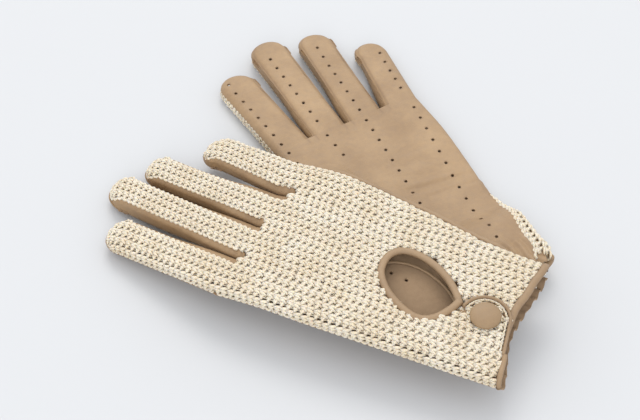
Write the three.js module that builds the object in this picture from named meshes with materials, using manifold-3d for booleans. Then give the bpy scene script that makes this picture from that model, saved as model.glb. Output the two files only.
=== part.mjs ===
// A pair of leather driving gloves: leather palms, crochet backs, a bound knuckle opening and a snap tab.
// Millimetres, +Z up. The left glove lies palm up. The right glove lies palm down across it, turned.
//
// Every piece is first shaped in a flat glove space that both gloves share:
//   x runs across the glove toward the little finger, y from the hem to the fingertips,
//   z from the outer face of the back (0) to the outer face of the palm (THICKNESS).
// A glove then lays each point in its place: see LEFT and RIGHT.
import * as THREE from 'three';
import { mergeVertices } from 'three/addons/utils/BufferGeometryUtils.js';
import Module from 'manifold-3d';

const wasm = await Module();
wasm.setup();

// Driving dimensions.
const THICKNESS = 10;
const HALF_THICKNESS = THICKNESS / 2;
const WALL = 1.2;
const GAP = 0.3;
const KNUCKLE = 147; // hem to the line where the fingers leave the hand
const HINGE_GAP = 0.4; // between the hand panels and the finger panels
const FOOT = GAP / 2; // how far a panel's sewn edge stays from the mid plane
const FOURCHETTE_FOOT = 1.6; // the same where a fourchette lies between the panels
const SQUARENESS = 4; // exponent of the rounded cross-section
const PALM_OVERHANG = 1; // the palm hem reaches past the back hem

// Outline of the hand: [distance from the hem, x].
const THUMB_SIDE = [[0, -38], [60, -41], [100, -42], [150, -41.3]];
const LITTLE_SIDE = [[0, 38.5], [15, 38], [38, 39.5], [63, 44.4], [85, 47.8], [115, 51.6], [150, 52.6]];

// Fingers: edges at the knuckle line, reach of the tip, half width near the tip,
// and which sides carry a fourchette.
const FINGERS = {
  index: { from: -41.2, to: -18.3, tip: 222, half: 11.3, inner: true, outer: false },
  middle: { from: -17.1, to: 5.2, tip: 238, half: 11.5, inner: true, outer: true },
  ring: { from: 6.7, to: 28.8, tip: 228, half: 11.1, inner: true, outer: true },
  little: { from: 30.3, to: 52.5, tip: 204, half: 10.1, inner: false, outer: true },
};
const FINGER_CAP = 12; // length of the rounded end of a finger

// Thumb: a bag on the palm, from the thumb hole toward the fingers.
const THUMB = { x: -20, y: 66, length: 54, lean: 0.2, halfBase: 13.5, halfTip: 11, thickness: 7.4, heel: 13 };
const THUMB_WALL = 0.85;
const THUMB_HOLE_RADIUS = 8;

// Knuckle opening: an egg with its narrow end toward the hem.
const OPENING = { x: -1.5, y: 55, long: 23, wide: 17.5, turn: 0.42, taper: 0.22 };
const OPENING_ROLL = 1.5;

// Wrist slit, tab and snap.
const SNAP = { x: -8, y: 19 };
const TAB = { root: -24, radius: 13, low: 5, thickness: 1.4, underside: 2 };
const FACING_THICKNESS = 0.6;
const FACING_UNDERSIDE = 1.1;
const TAB_ROLL = 1.1;
const HEM_ROLL = 1.7;
const CAP = { radius: 8, height: 3.4, bottom: 3.7 };
const SOCKET = { radius: 5, bore: 2.6, bottom: 1.2, top: 3.4, roof: 0.4 };
const STUD = { flange: 4.5, neck: 1.6, head: 2.2, bottom: 0.3, top: 2.7 };
const POST = { flange: 4.5, shank: 1.2, top: 2.2 };
const SLIT = { top: [-11, 40], bottom: [-20, -8], width: 1 };
const ELASTIC = { y: 26, width: 8, reach: 30, thickness: 0.6 };

// Lay of each glove. The left cuff rests on its snap cap.
const SNAP_LIFT = CAP.bottom + CAP.height;
const LIFT_END = { full: 34, none: 52 };
const DRAPE = { height: 19.8, from: 110, to: 245, cuffDrop: 2, cuffLength: 60, roll: 0.05, clear: 0.4 };
const RIGHT_TURN = THREE.MathUtils.degToRad(34.6);
const RIGHT_CUFF = [-3.7, -34];

// Colours.
const COTTON = { color: 0xe9dcc2, roughness: 0.95, metalness: 0 };
const LEATHER = { color: 0xb9936a, roughness: 0.6, metalness: 0 };
const TRIM = { color: 0x9c7650, roughness: 0.55, metalness: 0 };
const METAL = { color: 0xc9b37c, roughness: 0.35, metalness: 1 };
const RUBBER = { color: 0xd9cbb0, roughness: 0.9, metalness: 0 };

// ---------- general shape helpers ----------

// Value at `y` on a line through [y, value] pairs.
function along(pairs, y) {
  let k = 0;
  while (k < pairs.length - 2 && y > pairs[k + 1][0]) k += 1;
  const [y0, a] = pairs[k];
  const [y1, b] = pairs[k + 1];
  return THREE.MathUtils.lerp(a, b, (y - y0) / (y1 - y0));
}

function steps(from, to, count) {
  return Array.from({ length: count + 1 }, (_, k) => THREE.MathUtils.lerp(from, to, k / count));
}

// Merges equal points and turns the faces to point out.
function closed(geometry) {
  geometry.deleteAttribute('normal');
  geometry.deleteAttribute('uv');
  const merged = mergeVertices(geometry, 1e-4);
  const corners = merged.attributes.position;
  const corner = (k) => new THREE.Vector3().fromBufferAttribute(corners, merged.index.getX(k));
  let volume = 0;
  for (let k = 0; k < merged.index.count; k += 3) {
    volume += corner(k).dot(corner(k + 1).cross(corner(k + 2)));
  }
  if (volume < 0) merged.setIndex(Array.from(merged.index.array).reverse());
  return merged;
}

function solid(points, faces) {
  const geometry = new THREE.BufferGeometry();
  geometry.setAttribute('position', new THREE.Float32BufferAttribute(points.flatMap((p) => [p.x, p.y, p.z]), 3));
  geometry.setIndex(faces.flat());
  return closed(geometry);
}

// Skin over a row of rings with equal point counts. An open row is closed by two flat ends.
function loft(rings, endless = false) {
  const count = rings[0].length;
  const faces = [];
  const spans = endless ? rings.length : rings.length - 1;
  for (let r = 0; r < spans; r += 1) {
    const here = r * count;
    const next = ((r + 1) % rings.length) * count;
    for (let i = 0; i < count; i += 1) {
      const j = (i + 1) % count;
      faces.push([here + i, here + j, next + j], [here + i, next + j, next + i]);
    }
  }
  if (!endless) {
    endFaces(rings[0]).forEach(([a, b, c]) => faces.push([a, c, b]));
    const base = (rings.length - 1) * count;
    endFaces(rings[rings.length - 1]).forEach(([a, b, c]) => faces.push([base + a, base + b, base + c]));
  }
  return solid(rings.flat(), faces);
}

// Triangles of a flat ring, wound the way the ring runs.
function endFaces(ring) {
  const centre = ring.reduce((sum, p) => sum.add(p), new THREE.Vector3()).divideScalar(ring.length);
  const normal = new THREE.Vector3();
  ring.forEach((p, i) => {
    const q = ring[(i + 1) % ring.length];
    normal.add(p.clone().sub(centre).cross(q.clone().sub(centre)));
  });
  normal.normalize();
  const across = ring[1].clone().sub(ring[0]).normalize();
  const upward = normal.clone().cross(across);
  const flat = ring.map((p) => new THREE.Vector2(p.dot(across), p.dot(upward)));
  return THREE.ShapeUtils.triangulateShape(flat, []);
}

// A plate with the outline of `shape` in x and y, between two heights.
function plate(shape, low, high) {
  const geometry = new THREE.ExtrudeGeometry(shape, { depth: high - low, bevelEnabled: false, curveSegments: 8 });
  return geometry.translate(0, 0, low);
}

// A turned piece on the snap's axis; profile points are [radius, z].
function turned(profile, sides = 20) {
  const geometry = new THREE.LatheGeometry(profile.map(([r, z]) => new THREE.Vector2(r, z)), sides);
  return closed(geometry.rotateX(Math.PI / 2).translate(SNAP.x, SNAP.y, 0));
}

// A round cord of the given radius along a row of points.
function roll(path, radius, endless = false, sides = 6) {
  const rings = path.map((p, k) => {
    const before = path[endless ? (k + path.length - 1) % path.length : Math.max(k - 1, 0)];
    const after = path[endless ? (k + 1) % path.length : Math.min(k + 1, path.length - 1)];
    const forward = after.clone().sub(before).normalize();
    const side = forward.clone().cross(new THREE.Vector3(0, 0, 1)).normalize();
    const up = side.clone().cross(forward);
    return Array.from({ length: sides }, (_, i) => {
      const turn = (2 * Math.PI * i) / sides;
      return p.clone().addScaledVector(side, radius * Math.cos(turn)).addScaledVector(up, radius * Math.sin(turn));
    });
  });
  return loft(rings, endless);
}

function toManifold(geometry) {
  const merged = closed(geometry.clone());
  const mesh = new wasm.Mesh({
    numProp: 3,
    vertProperties: new Float32Array(merged.attributes.position.array),
    triVerts: new Uint32Array(merged.index.array),
  });
  return new wasm.Manifold(mesh);
}

function cut(geometry, tools) {
  let result = toManifold(geometry);
  tools.forEach((tool) => {
    result = result.subtract(toManifold(tool));
  });
  const mesh = result.getMesh();
  const out = new THREE.BufferGeometry();
  out.setAttribute('position', new THREE.Float32BufferAttribute(mesh.vertProperties, 3));
  out.setIndex(Array.from(mesh.triVerts));
  return out;
}

// ---------- panels: half of a flattened tube ----------

// Half of a rounded section from one sewn edge to the other, as [x, height above the mid plane].
function arch(halfWidth, height, footLeft, footRight, segments) {
  const start = Math.asin(Math.min(1, footLeft / height) ** (SQUARENESS / 2));
  const end = Math.PI - Math.asin(Math.min(1, footRight / height) ** (SQUARENESS / 2));
  return steps(start, end, segments).map((turn) => {
    const x = -Math.sign(Math.cos(turn)) * halfWidth * Math.abs(Math.cos(turn)) ** (2 / SQUARENESS);
    return [x, height * Math.sin(turn) ** (2 / SQUARENESS)];
  });
}

// One ring of a panel. side is -1 for the back and +1 for the palm.
function panelRing(station, side, segments) {
  const { y, centre, half, height, footLeft, footRight } = station;
  const outer = arch(half, height, footLeft, footRight, segments);
  const innerHalf = half - WALL;
  const innerHeight = height - WALL;
  const hollow = innerHeight > Math.max(footLeft, footRight) + WALL / 2 && innerHalf > WALL;
  const lastOuter = outer[segments];
  const inner = hollow
    ? arch(innerHalf, innerHeight, footLeft, footRight, segments)
    : steps(outer[0][0] + FOOT, lastOuter[0] - FOOT, segments).map((x, k) => {
      return [x, THREE.MathUtils.lerp(footLeft, footRight, k / segments)];
    });
  return [...outer, ...inner.reverse()].map(([x, height2]) => {
    return new THREE.Vector3(centre + x, y, HALF_THICKNESS + side * height2);
  });
}

function panel(stations, side, segments) {
  return loft(stations.map((station) => panelRing(station, side, segments)));
}

// ---------- the hand ----------

// How far the back hem stands in from the wrist line: deepest beside the slit.
function hemRise(x) {
  const middle = SNAP.x + 4;
  return x < middle ? 7 * THREE.MathUtils.smoothstep(x, -38, middle) : 7 - 4 * THREE.MathUtils.smoothstep(x, middle, 38);
}

const HEM_BLEND = 26; // the hem's curve fades out over this length

function bendHem(geometry, advance) {
  const position = geometry.attributes.position;
  for (let k = 0; k < position.count; k += 1) {
    const y = position.getY(k);
    const share = Math.max(0, 1 - y / HEM_BLEND);
    position.setY(k, y + share * (hemRise(position.getX(k)) - advance));
  }
  return geometry;
}

function handStations() {
  return steps(0, KNUCKLE - HINGE_GAP / 2, 13).map((y) => {
    const left = along(THUMB_SIDE, y);
    const right = along(LITTLE_SIDE, y);
    const half = (right - left) / 2;
    return { y, centre: (left + right) / 2, half, height: HALF_THICKNESS, footLeft: FOOT, footRight: FOOT };
  });
}

const HAND_SEGMENTS = 12;

// Point on the edge of the knuckle opening, pushed outward by `offset`.
function openingPoint(turn, offset, z) {
  const { x, y, long, wide, taper } = OPENING;
  const a = (long + offset) * Math.cos(turn);
  const b = (wide + offset) * Math.sin(turn) * (1 + taper * Math.cos(turn));
  const c = Math.cos(OPENING.turn);
  const s = Math.sin(OPENING.turn);
  return new THREE.Vector3(x + a * s + b * c, y + a * c - b * s, z);
}

function openingShape(offset) {
  const points = steps(0, 2 * Math.PI, 28).slice(1).map((turn) => openingPoint(turn, offset, 0));
  return new THREE.Shape(points.map((p) => new THREE.Vector2(p.x, p.y)));
}

function slitShape() {
  const [x1, y1] = SLIT.top;
  const [x0, y0] = SLIT.bottom;
  const w = SLIT.width / 2;
  return new THREE.Shape([[x0 - w, y0], [x0 + w, y0], [x1 + w, y1], [x1 - w, y1]].map((p) => new THREE.Vector2(...p)));
}

function roundShape(x, y, radius) {
  const shape = new THREE.Shape();
  shape.absarc(x, y, radius, 0, 2 * Math.PI);
  return shape;
}

function backHand() {
  const shell = bendHem(panel(handStations(), -1, HAND_SEGMENTS), 0);
  const below = -2;
  return cut(shell, [
    plate(openingShape(0), below, HALF_THICKNESS - 1),
    plate(slitShape(), below, HALF_THICKNESS - 1),
    plate(roundShape(SNAP.x, SNAP.y, POST.shank + GAP), below, HALF_THICKNESS - 1),
  ]);
}

function palmHand() {
  const shell = bendHem(panel(handStations(), 1, HAND_SEGMENTS), PALM_OVERHANG);
  const hole = plate(roundShape(THUMB.x, THUMB.y, THUMB_HOLE_RADIUS), HALF_THICKNESS + 1, THICKNESS + 2);
  return cut(shell, [hole]);
}

function openingBinding() {
  const inset = -(OPENING_ROLL + GAP);
  const turns = steps(0, 2 * Math.PI, 28).slice(1);
  return roll(turns.map((turn) => openingPoint(turn, inset, OPENING_ROLL)), OPENING_ROLL, true);
}

// A roll along the back hem between two x positions, following the rounded section.
function hemBinding(from, to) {
  const path = steps(from, to, 8).map((x) => {
    const side = x < 0 ? 38 : 38.3;
    const height = HALF_THICKNESS * (1 - Math.abs(x / side) ** SQUARENESS) ** (1 / SQUARENESS);
    return new THREE.Vector3(x, hemRise(x) - HEM_ROLL - GAP, HALF_THICKNESS - height + WALL / 2);
  });
  return roll(path, HEM_ROLL);
}

function wristElastic() {
  const { y, width, reach, thickness } = ELASTIC;
  const top = THICKNESS - WALL - 2 * GAP;
  const rings = steps(-reach, reach, 8).map((x) => {
    const sag = 0.8 * (x / reach) ** 2;
    return [[y, top - sag], [y + width, top - sag], [y + width, top - thickness - sag], [y, top - thickness - sag]]
      .map(([py, pz]) => new THREE.Vector3(x, py, pz));
  });
  return loft(rings);
}

// ---------- the fingers ----------

function fingerStations(name, spread) {
  const finger = FINGERS[name];
  const reach = finger.tip - FINGER_CAP;
  const base = KNUCKLE + HINGE_GAP / 2;
  const straight = steps(base, reach, 4);
  const domed = [22, 42, 58, 72, 83].map((angle) => reach + FINGER_CAP * Math.sin(THREE.MathUtils.degToRad(angle)));
  const stripEnd = fourchetteEnd(name);
  const stations = [...straight, ...domed].map((y) => fingerStation(name, spread, y));
  stations.forEach((station) => {
    const strip = station.y < stripEnd + GAP;
    const foot = strip ? FOURCHETTE_FOOT : FOOT;
    station.footLeft = finger.outer ? foot : FOOT;
    station.footRight = finger.inner ? foot : FOOT;
  });
  return stations;
}

// Where the fourchettes of a finger end: just before its rounded tip closes.
function fourchetteEnd(name) {
  return FINGERS[name].tip - FINGER_CAP;
}

// Centre, half width and half thickness of a finger at distance y from the hem.
function fingerStation(name, spread, y) {
  const finger = FINGERS[name];
  const reach = finger.tip - FINGER_CAP;
  const t = Math.min(1, (y - KNUCKLE) / (reach - KNUCKLE));
  const baseHalf = (finger.to - finger.from) / 2;
  const baseCentre = (finger.to + finger.from) / 2;
  const into = Math.max(0, (y - reach) / FINGER_CAP);
  const half = THREE.MathUtils.lerp(baseHalf, finger.half, t) * (1 - into ** 2.2) ** (1 / 2.2);
  const height = HALF_THICKNESS * (1 - into ** 4) ** (1 / 2);
  return { y, centre: THREE.MathUtils.lerp(baseCentre, spread[name], t), half, height };
}

const FINGER_SEGMENTS = 6;

function fingerPanel(name, spread, side) {
  return panel(fingerStations(name, spread), side, FINGER_SEGMENTS);
}

// A side strip of a finger. edge is -1 on the thumb side of the finger and +1 on the other.
function fourchette(name, spread, edge) {
  const base = KNUCKLE + HINGE_GAP / 2;
  const reach = FOURCHETTE_FOOT - GAP;
  const rings = steps(base, fourchetteEnd(name) - GAP, 4).map((y) => {
    const { centre, half } = fingerStation(name, spread, y);
    const outside = centre + edge * half;
    const inside = outside - edge * WALL;
    return [[outside, -reach], [outside, reach], [inside, reach], [inside, -reach]]
      .map(([x, z]) => new THREE.Vector3(x, y, HALF_THICKNESS + z));
  });
  return loft(rings);
}

// ---------- the thumb ----------

// A closed bag: rounded plan, rounded section.
function thumbBody(shrink) {
  const { x, y, length, lean, halfBase, halfTip, thickness, heel } = THUMB;
  const bottom = THICKNESS + GAP + shrink;
  const top = THICKNESS + GAP + thickness - shrink;
  const middle = (top + bottom) / 2;
  const start = -heel + shrink;
  const end = length - shrink;
  const cap = halfBase - shrink;
  const turns = [10, 35, 60].map((angle) => 1 - Math.cos(THREE.MathUtils.degToRad(angle)));
  const places = [
    ...turns.map((t) => start + cap * t),
    ...steps(start + cap, end - cap, 4),
    ...[...turns].reverse().map((t) => end - cap * t),
  ];
  const rings = places.map((d) => {
    const t = THREE.MathUtils.clamp(d / length, 0, 1);
    const full = THREE.MathUtils.lerp(halfBase, halfTip, t) - shrink;
    const into = Math.max(0, (start + cap - d) / cap, (d - (end - cap)) / cap);
    const half = full * Math.sqrt(1 - into ** 2);
    const height = ((top - bottom) / 2) * (1 - into ** 4) ** (1 / 4);
    const cx = x - Math.sin(lean) * d;
    const cy = y + Math.cos(lean) * d;
    return Array.from({ length: 12 }, (_, i) => {
      const turn = (2 * Math.PI * i) / 12;
      const px = half * Math.sign(Math.cos(turn)) * Math.abs(Math.cos(turn)) ** 0.6;
      const pz = height * Math.sign(Math.sin(turn)) * Math.abs(Math.sin(turn)) ** 0.6;
      return new THREE.Vector3(cx + Math.cos(lean) * px, cy + Math.sin(lean) * px, middle + pz);
    });
  });
  return loft(rings);
}

function thumb() {
  const mouth = plate(roundShape(THUMB.x, THUMB.y, THUMB_HOLE_RADIUS), THICKNESS, THICKNESS + THUMB.thickness / 2);
  return cut(thumbBody(0), [thumbBody(THUMB_WALL), mouth]);
}

// ---------- tab and snap, outside the back (below zero) ----------

function tabShape(inset) {
  const { root, radius, low } = TAB;
  const shape = new THREE.Shape();
  shape.moveTo(root, low + inset);
  shape.lineTo(SNAP.x, SNAP.y - radius + inset);
  shape.absarc(SNAP.x, SNAP.y, radius - inset, -Math.PI / 2, Math.PI / 2);
  shape.lineTo(root, SNAP.y + radius - inset);
  return shape;
}

function tab() {
  const { underside, thickness } = TAB;
  const sheet = plate(tabShape(0), -underside - thickness, -underside);
  return cut(sheet, [plate(roundShape(SNAP.x, SNAP.y, SOCKET.radius + GAP), -5, 0)]);
}

function tabFacing() {
  const sheet = plate(tabShape(0.6), -FACING_UNDERSIDE - FACING_THICKNESS, -FACING_UNDERSIDE);
  return cut(sheet, [plate(roundShape(SNAP.x, SNAP.y, SOCKET.radius + GAP), -5, 0)]);
}

function tabBinding() {
  const { root, radius, low, underside, thickness } = TAB;
  const z = -underside - thickness / 2;
  const out = radius + TAB_ROLL + GAP;
  const tail = steps(root, SNAP.x - 2, 2).map((x) => {
    const t = (x - root) / (SNAP.x - root);
    return new THREE.Vector3(x, THREE.MathUtils.lerp(low, SNAP.y - radius, t) - TAB_ROLL - GAP, z);
  });
  const round = steps(-Math.PI / 2, Math.PI * 0.5, 14).map((turn) => {
    return new THREE.Vector3(SNAP.x + out * Math.cos(turn), SNAP.y + out * Math.sin(turn), z);
  });
  return roll([...tail, ...round], TAB_ROLL);
}

function snapCap() {
  const { radius, height, bottom } = CAP;
  const rim = 1;
  const dome = steps(0, Math.PI / 2, 5).map((turn) => {
    return [radius * Math.cos(turn), -bottom - rim - (height - rim) * Math.sin(turn)];
  });
  return turned([[0, -bottom], [radius, -bottom], ...dome.slice(0, -1), [0, -bottom - height]]);
}

function snapSocket() {
  const { radius, bore, bottom, top, roof } = SOCKET;
  return turned([[0, -top], [radius, -top], [radius, -bottom], [bore, -bottom], [bore, roof - top], [0, roof - top]]);
}

function snapStud() {
  const { flange, neck, head, bottom, top } = STUD;
  const lip = bottom + 0.5;
  const bulge = (lip + top) / 2;
  return turned([[0, -bottom], [flange, -bottom], [flange, -lip], [neck, -lip], [head, -bulge], [neck, -top], [0, -top]], 16);
}

function snapPost() {
  const { flange, shank, top } = POST;
  const under = WALL + GAP;
  return turned([[0, 0], [shank, 0], [shank, under], [flange, under], [flange, top], [0, top]], 16);
}

// ---------- laying the gloves down ----------

// Height of the right glove's palm above the ground: it arches over the other glove, fingers down.
function drapeHeight(x, y) {
  const raised = 1 - THREE.MathUtils.smoothstep(y, DRAPE.from, DRAPE.to);
  const cuff = DRAPE.cuffDrop * Math.max(0, 1 - y / DRAPE.cuffLength);
  return DRAPE.clear + (DRAPE.height + DRAPE.roll * x) * raised - cuff;
}

const LEFT = {
  name: 'left',
  spread: { index: -31.5, middle: -2, ring: 26, little: 51 },
  lay(p) {
    const rise = SNAP_LIFT * (1 - THREE.MathUtils.smoothstep(p.y, LIFT_END.full, LIFT_END.none));
    return new THREE.Vector3(p.x, p.y, p.z + rise);
  },
};

const RIGHT = {
  name: 'right',
  spread: { index: -22, middle: 9, ring: 34.5, little: 59.5 },
  lay(p) {
    const z = drapeHeight(p.x, p.y) + THICKNESS - p.z;
    const c = Math.cos(RIGHT_TURN);
    const s = Math.sin(RIGHT_TURN);
    return new THREE.Vector3(RIGHT_CUFF[0] + c * p.x - s * p.y, RIGHT_CUFF[1] + s * p.x + c * p.y, z);
  },
};

function layDown(geometry, glove) {
  const position = geometry.attributes.position;
  const point = new THREE.Vector3();
  for (let k = 0; k < position.count; k += 1) {
    const laid = glove.lay(point.fromBufferAttribute(position, k));
    position.setXYZ(k, laid.x, laid.y, laid.z);
  }
  return closed(geometry);
}

function buildGlove(glove) {
  const group = new THREE.Group();
  const add = (name, geometry, look) => {
    const mesh = new THREE.Mesh(layDown(geometry, glove), new THREE.MeshStandardMaterial(look));
    mesh.name = `${glove.name}_${name}`;
    group.add(mesh);
  };
  add('back_hand', backHand(), COTTON);
  add('palm_hand', palmHand(), LEATHER);
  add('opening_binding', openingBinding(), TRIM);
  add('hem_binding_thumb', hemBinding(-35, TAB.root - 3), TRIM);
  add('hem_binding_little', hemBinding(6, 35), TRIM);
  add('wrist_elastic', wristElastic(), RUBBER);
  add('thumb', thumb(), LEATHER);
  Object.entries(FINGERS).forEach(([name, finger]) => {
    add(`back_${name}`, fingerPanel(name, glove.spread, -1), COTTON);
    add(`palm_${name}`, fingerPanel(name, glove.spread, 1), LEATHER);
    if (finger.outer) add(`fourchette_${name}_outer`, fourchette(name, glove.spread, -1), LEATHER);
    if (finger.inner) add(`fourchette_${name}_inner`, fourchette(name, glove.spread, 1), LEATHER);
  });
  add('tab', tab(), COTTON);
  add('tab_facing', tabFacing(), LEATHER);
  add('tab_binding', tabBinding(), TRIM);
  add('snap_cap', snapCap(), TRIM);
  add('snap_socket', snapSocket(), METAL);
  add('snap_stud', snapStud(), METAL);
  add('snap_post', snapPost(), METAL);
  return group;
}

// ---------- the pair, centred on its own footprint ----------

const pair = new THREE.Group();
pair.add(buildGlove(LEFT), buildGlove(RIGHT));
pair.updateMatrixWorld(true);
const bounds = new THREE.Box3().setFromObject(pair);
const middle = bounds.getCenter(new THREE.Vector3());
pair.position.set(-middle.x, -middle.y, -bounds.min.z);

export default pair;
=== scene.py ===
import bpy
import math
import numpy as np
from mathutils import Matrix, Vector


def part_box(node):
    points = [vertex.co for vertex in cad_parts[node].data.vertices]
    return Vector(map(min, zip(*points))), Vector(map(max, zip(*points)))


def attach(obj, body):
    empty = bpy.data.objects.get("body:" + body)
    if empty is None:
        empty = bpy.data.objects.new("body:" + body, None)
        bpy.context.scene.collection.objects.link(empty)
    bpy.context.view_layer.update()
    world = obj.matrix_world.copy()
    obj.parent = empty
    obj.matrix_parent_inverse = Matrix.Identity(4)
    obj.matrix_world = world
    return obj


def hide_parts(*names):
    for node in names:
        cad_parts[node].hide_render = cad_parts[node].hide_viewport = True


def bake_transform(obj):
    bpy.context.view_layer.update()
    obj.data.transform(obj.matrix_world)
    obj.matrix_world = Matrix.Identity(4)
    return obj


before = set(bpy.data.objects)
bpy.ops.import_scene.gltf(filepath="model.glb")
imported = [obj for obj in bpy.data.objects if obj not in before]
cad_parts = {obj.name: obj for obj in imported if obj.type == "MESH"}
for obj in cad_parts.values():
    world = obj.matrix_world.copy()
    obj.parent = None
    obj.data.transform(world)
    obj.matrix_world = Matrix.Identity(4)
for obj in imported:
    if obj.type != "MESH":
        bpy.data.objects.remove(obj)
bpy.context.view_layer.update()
scene = bpy.context.scene

# ---------- camera, table and light ----------
# The pair lies on a plain pale table top under a broad soft lamp that stands behind it, so the soft
# shadows fall toward the viewer. A second, weaker lamp in front lifts the near edges.
camera = bpy.data.objects.new("camera", bpy.data.cameras.new("camera"))
camera.data.lens = 80.4
camera.location = (-0.2645, -0.4529, 0.5499)
aim = Vector((0.0082, 0.0125, 0.0))
camera.rotation_euler = (aim - camera.location).to_track_quat("-Z", "Y").to_euler()
scene.collection.objects.link(camera)
scene.camera = camera
scene.view_settings.view_transform = "Standard"

bpy.ops.object.select_all(action="DESELECT")
bpy.ops.mesh.primitive_plane_add(size=6, location=(0, 0, 0))
table = bpy.context.object
table.name = "table_top"
table_finish = bpy.data.materials.new("pale_table")
table_finish.use_nodes = True
table_shader = table_finish.node_tree.nodes["Principled BSDF"]
table_shader.inputs["Base Color"].default_value = (0.585, 0.590, 0.598, 1)
table_shader.inputs["Roughness"].default_value = 0.8
table.data.materials.append(table_finish)

scene.world = scene.world or bpy.data.worlds.new("studio")
scene.world.use_nodes = True
scene.world.node_tree.nodes["Background"].inputs[0].default_value = (0.95, 0.97, 1.0, 1)
scene.world.node_tree.nodes["Background"].inputs[1].default_value = 1.14


def lamp(name, place, target, size, power, tint):
    light = bpy.data.lights.new(name, "AREA")
    light.size = size
    light.energy = power
    light.color = tint
    holder = bpy.data.objects.new(name, light)
    holder.location = place
    holder.rotation_euler = (Vector(target) - Vector(place)).to_track_quat("-Z", "Y").to_euler()
    scene.collection.objects.link(holder)


lamp("broad_lamp", (0.9, 1.7, 2.5), (0, 0, 0), 1.5, 32, (1.0, 0.98, 0.95))
lamp("fill_lamp", (-1.1, -1.8, 1.2), (0, 0, 0), 1.4, 15, (0.97, 0.98, 1.0))

# ---------- how the two gloves lie ----------
# Both gloves are cut alike and are drawn flat, in millimetres: x runs toward the little finger,
# y from the hem to the fingertips, w from the back's face (0) to the palm's face (10).
# The left glove lies palm up on its snap; the right one lies palm down across it, turned.
MM = 0.001
SIDES = ("left", "right")
THICK = 10.0  # the glove as it lies flat
ROLL = 5.0  # radius of its rounded edges
KNUCKLE = 147.0  # the line where the fingers start and bend
SNAP = np.array((-8.0, 19.0))
TURN = math.radians(34.6)  # between the two gloves
LIFT = 7.1  # the left glove's hand stands off the table at its cuff, on the snap
PRESSED = 0.6  # cloth lower than this is squeezed by the table


def ease(t):
    t = np.clip(t, 0.0, 1.0)
    return t * t * (3 - 2 * t)


def bell(distance, width):
    return np.exp(-((distance / width) ** 2))


def snap_place(side):
    low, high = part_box(f"{side}_snap_cap")
    return np.array(((low.x + high.x) / 2, (low.y + high.y) / 2)) / MM


def turned(x, y):
    return math.cos(TURN) * x - math.sin(TURN) * y, math.sin(TURN) * x + math.cos(TURN) * y


START = {
    "left": snap_place("left") - SNAP,
    "right": snap_place("right") - np.array(turned(*SNAP)),
}


def relaxed(x, y):
    """Soft swells of a glove that nobody wears, in millimetres."""
    swell = 0.5 * np.sin(x / 13.0 + y / 31.0 + 0.6) + 0.45 * np.sin(y / 17.0 - x / 23.0 + 2.0)
    return (swell + 0.3 * np.sin(x / 7.5 - y / 40.0)) * ease((y + 6) / 30)


def lay(side, x, y, w):
    """Glove millimetres to a place on the table in metres."""
    if side == "left":
        z = w + LIFT * (1 - ease((y - 34) / 18)) + relaxed(x, y) * np.clip(w / THICK, 0, 1)
        gx, gy = x, y
    else:
        raised = 1 - ease((y - 110) / 135)
        under = 0.4 + (19.8 + 0.05 * x) * raised - 2 * np.maximum(0, 1 - y / 60)
        z = under + THICK - w + relaxed(x, y) * np.clip(1 - w / THICK, 0, 1)
        gx, gy = turned(x, y)
    z = np.where(z < PRESSED, PRESSED + 0.35 * (z - PRESSED), z)
    place = np.stack((START[side][0] + gx, START[side][1] + gy, z), -1)
    return place * MM


def make_piece(name, side, points, faces, marks=None, along=None, finishes=()):
    """A mesh from glove-space points. marks is one number a point; along is (u, v) a point."""
    x, y, w = np.asarray(points, float).T
    if side == "right":
        faces = [face[::-1] for face in faces]
    mesh = bpy.data.meshes.new(name)
    mesh.from_pydata(lay(side, x, y, w).tolist(), [], faces)
    if marks is not None:
        seam_and_shade = mesh.attributes.new("seam_and_shade", "FLOAT", "POINT")
        seam_and_shade.data.foreach_set("value", np.asarray(marks, np.float32))
    if along is not None:
        corner = np.empty(len(mesh.loops), np.int32)
        mesh.loops.foreach_get("vertex_index", corner)
        layer = mesh.uv_layers.new(name="strand")
        layer.data.foreach_set("uv", np.asarray(along, np.float32)[corner].ravel())
    mesh.polygons.foreach_set("use_smooth", np.ones(len(mesh.polygons), bool))
    for finish in finishes:
        mesh.materials.append(finish)
    mesh.update()
    piece = bpy.data.objects.new(name, mesh)
    scene.collection.objects.link(piece)
    return piece


# ---------- the cut of the glove ----------
# Outline of the hand and of each finger, as the cutter's pattern gives them. The crochet is narrower
# than the leather on the sides where a fourchette is sewn in.
FINGERS = {
    "index": dict(edges=(-41.2, -18.3), tip=222.0, half=11.3, rows=4, first_row=0, fourchettes=(1,)),
    "middle": dict(edges=(-17.1, 5.2), tip=238.0, half=11.5, rows=3, first_row=6, fourchettes=(-1, 1)),
    "ring": dict(edges=(6.7, 28.8), tip=228.0, half=11.1, rows=3, first_row=11, fourchettes=(-1, 1)),
    "little": dict(edges=(30.3, 52.5), tip=204.0, half=10.1, rows=4, first_row=16, fourchettes=(-1,)),
}
# x of each crotch, from the thumb side on
CROTCHES = [-17.7, 5.95, 29.55]
CURL = dict(index=5.0, middle=4.5, ring=1.5, little=0.0)
# x of each fingertip: the fingers fan out
SPREAD = {
    "left": dict(index=-31.5, middle=-2.0, ring=26.0, little=51.0),
    "right": dict(index=-18.0, middle=12.0, ring=33.5, little=55.5),
}
# how far each cloth rolls round an edge of radius ROLL, as an angle
WRAP = {
    "crochet": {"thumb": 1.80, "little": 0.85, "slot_outer": 0.50, "slot_inner": -0.16, "tip": 1.45},
    "leather": {"thumb": 1.30, "little": 2.25, "slot_outer": 1.0, "slot_inner": 1.0, "tip": 1.55},
}
# the stitches stand out of their cloth, so the cloth itself lies this much deeper
SUNK = {"crochet": 1.2, "leather": 0.0}


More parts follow.
